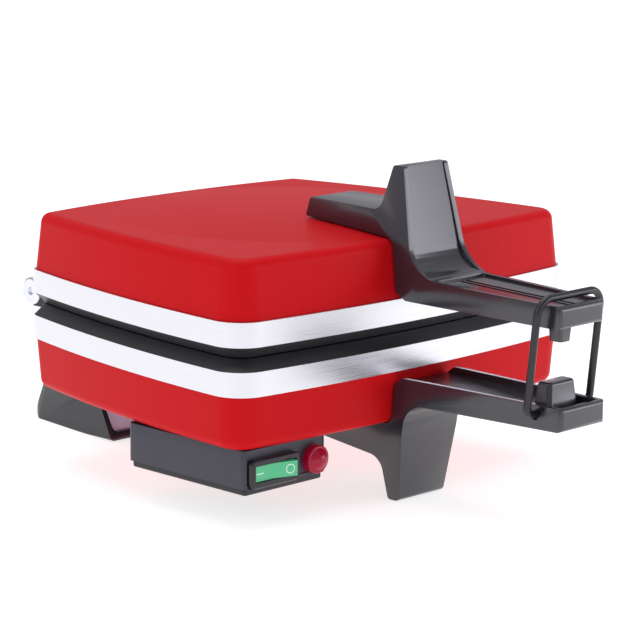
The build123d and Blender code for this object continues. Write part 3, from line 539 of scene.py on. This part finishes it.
lamp_red = finish(
    "lamp_red",
    linear(176, 8, 52),
    linear(152, 5, 42),
    surface_group,
    {"Roughness": 0.14, "Clouding": 0.06, "Cloud Scale": 300.0, "Grain Scale": 2000.0},
    Specular_IOR_Level=0.3,
    Transmission_Weight=0.15,
    # Painted glow, standing in for daylight passing through the lamp.
    Emission_Color=linear(200, 10, 60),
    Emission_Strength=0.08,
)
dress(lamp_red, "lamp_lens", "lamp_bezel")

# %% [markdown]
# ## Marks on the rocker
# A short bar stands on the half that is pressed in and a ring on the half that stands out. Both
# are thin print that lies on the two flats of the rocker and moves with it.

# %% Marks on the rocker
ROCKER_PIVOT = BODY_CENTRE + Vector((-0.0874, -0.0796, -0.0542))
FLAT_DEPTH = 0.00326
FOLD_X = -0.00052
PROUD_TURN = math.radians(-18)
BAR_PLACE = -0.0090
BAR_SIZE = (0.0042, 0.0006)
BAR_CORNERS = 4
RING_PLACE = 0.0082
RING_RADII = (0.0018, 0.0023)
RING_STEPS = 36
PRINT_LIFT = 0.00004
mark_white = finish(
    "mark_white",
    linear(214, 244, 228),
    linear(206, 238, 220),
    surface_group,
    {"Roughness": 0.4, "Clouding": 0.05, "Cloud Scale": 300.0, "Grain Scale": 3000.0},
)


def on_rocker(along, height, turn):
    """A point on one flat of the rocker, along from the fold and height from its middle."""
    direction = Vector((math.cos(turn), math.sin(turn), 0.0))
    outwards = Vector((math.sin(turn), -math.cos(turn), 0.0))
    fold = ROCKER_PIVOT + Vector((FOLD_X, -FLAT_DEPTH, 0.0))
    return fold + direction * along + Vector((0, 0, height)) + outwards * PRINT_LIFT


def make_marks():
    """The bar and the ring as one thin mesh: four corners, then two for each step round."""
    corners = []
    for across, rise in ((-1, -1), (1, -1), (1, 1), (-1, 1)):
        along = BAR_PLACE + across * BAR_SIZE[0] / 2
        corners.append(on_rocker(along, rise * BAR_SIZE[1] / 2, 0.0))
    faces = [(0, 1, 2, 3)]
    for step in range(RING_STEPS):
        angle = 2 * math.pi * step / RING_STEPS
        for radius in RING_RADII:
            along = RING_PLACE + radius * math.cos(angle)
            corners.append(on_rocker(along, radius * math.sin(angle), PROUD_TURN))
        here = BAR_CORNERS + 2 * step
        following = BAR_CORNERS + 2 * ((step + 1) % RING_STEPS)
        faces.append((here, here + 1, following + 1, following))
    mesh = bpy.data.meshes.new("rocker_marks")
    mesh.from_pydata([tuple(corner) for corner in corners], [], faces)
    mesh.materials.append(mark_white)
    marks = add_object("rocker_marks", mesh)
    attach(marks, "rocker")


make_marks()

# %% [markdown]
# ## Softened edges
# Moulded plastic has no sharp edge: every one is rounded by half a millimetre or more, and that
# round is what draws the thin light lines along the handles. The mesh of a solid is loose
# triangles and stays as it is, so a merged copy stands for it. A planar Decimate clears the
# triangles of its flats, and a Bevel with hardened normals rounds what is left sharp. The
# widths are in metres.

# %% Softened edges
ROUNDED = {
    "upper_handle": ("lid", "handle_black", 0.0009),
    "lower_handle": ("base", "handle_black", 0.0009),
    "rear_foot": ("base", "foot_plastic", 0.0009),
    "control_box": ("base", "box_plastic", 0.0006),
    "control_box_lid": ("base", "box_lid_plastic", 0.0004),
    "switch_frame": ("base", "switch_frame_black", 0.0005),
}
MERGE = 0.00002
FLAT_ANGLE = math.radians(0.6)
SHARP_ANGLE = math.radians(38)
ROUND_SEGMENTS = 3


def softened(name, body, slot, width):
    """A merged copy of a solid with its sharp edges rounded, standing for the solid."""
    mesh = nodes[name].data.copy()
    shape = bmesh.new()
    shape.from_mesh(mesh)
    bmesh.ops.remove_doubles(shape, verts=shape.verts, dist=MERGE)
    shape.to_mesh(mesh)
    shape.free()
    mesh.shade_smooth()
    piece = add_object(name + "_rounded", mesh)
    flats = piece.modifiers.new("flats", "DECIMATE")
    flats.decimate_type = "DISSOLVE"
    flats.delimit = {"MATERIAL"}
    flats.angle_limit = FLAT_ANGLE
    rounds = piece.modifiers.new("rounds", "BEVEL")
    rounds.width = width
    rounds.segments = ROUND_SEGMENTS
    rounds.limit_method = "ANGLE"
    rounds.angle_limit = SHARP_ANGLE
    rounds.harden_normals = True
    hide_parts(name)
    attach(piece, body)
    return piece


rounded = {name: softened(name, *choice) for name, choice in ROUNDED.items()}
print("softened:", sorted(rounded))

# %% [markdown]
# ## Front panel of the foot
# The foot's sunk front panel looks paler than its rim in the picture. That paleness is glare on the
# black plastic, so the panel gets a pale material of its own: painted glare, not a finish of the
# plastic. Its faces lean the same way as the rim's, by a run of 16.2 mm over a height of 28.8 mm,
# and lie a little deeper.

# %% Front panel of the foot
FACE_HEIGHT = 0.0288
FACE_RUN = 0.0162
PANEL_NORMAL = Vector((0.0, -FACE_HEIGHT, FACE_RUN)).normalized()
PANEL_DEPTH = 0.0015
SAME_LEAN = 0.995
# Pale lavender instead of the black plastic: painted glare on the sunk panel.
panel_painted_glare = finish(
    "foot_panel_painted_glare",
    linear(214, 211, 234),
    linear(204, 201, 226),
    surface_group,
    {"Roughness": 0.45, "Clouding": 0.1, "Cloud Scale": 40.0, "Grain Scale": 1500.0},
)


def paint_panel_glare(piece):
    """Give the faces of the sunk panel the pale material that paints glare on them."""
    mesh = piece.data
    mesh.materials.append(panel_painted_glare)
    leaning = [face for face in mesh.polygons if face.normal.dot(PANEL_NORMAL) > SAME_LEAN]
    foremost = max(face.center.dot(PANEL_NORMAL) for face in leaning)
    for face in leaning:
        if face.center.dot(PANEL_NORMAL) < foremost - PANEL_DEPTH:
            face.material_index = 1


paint_panel_glare(rounded["rear_foot"])
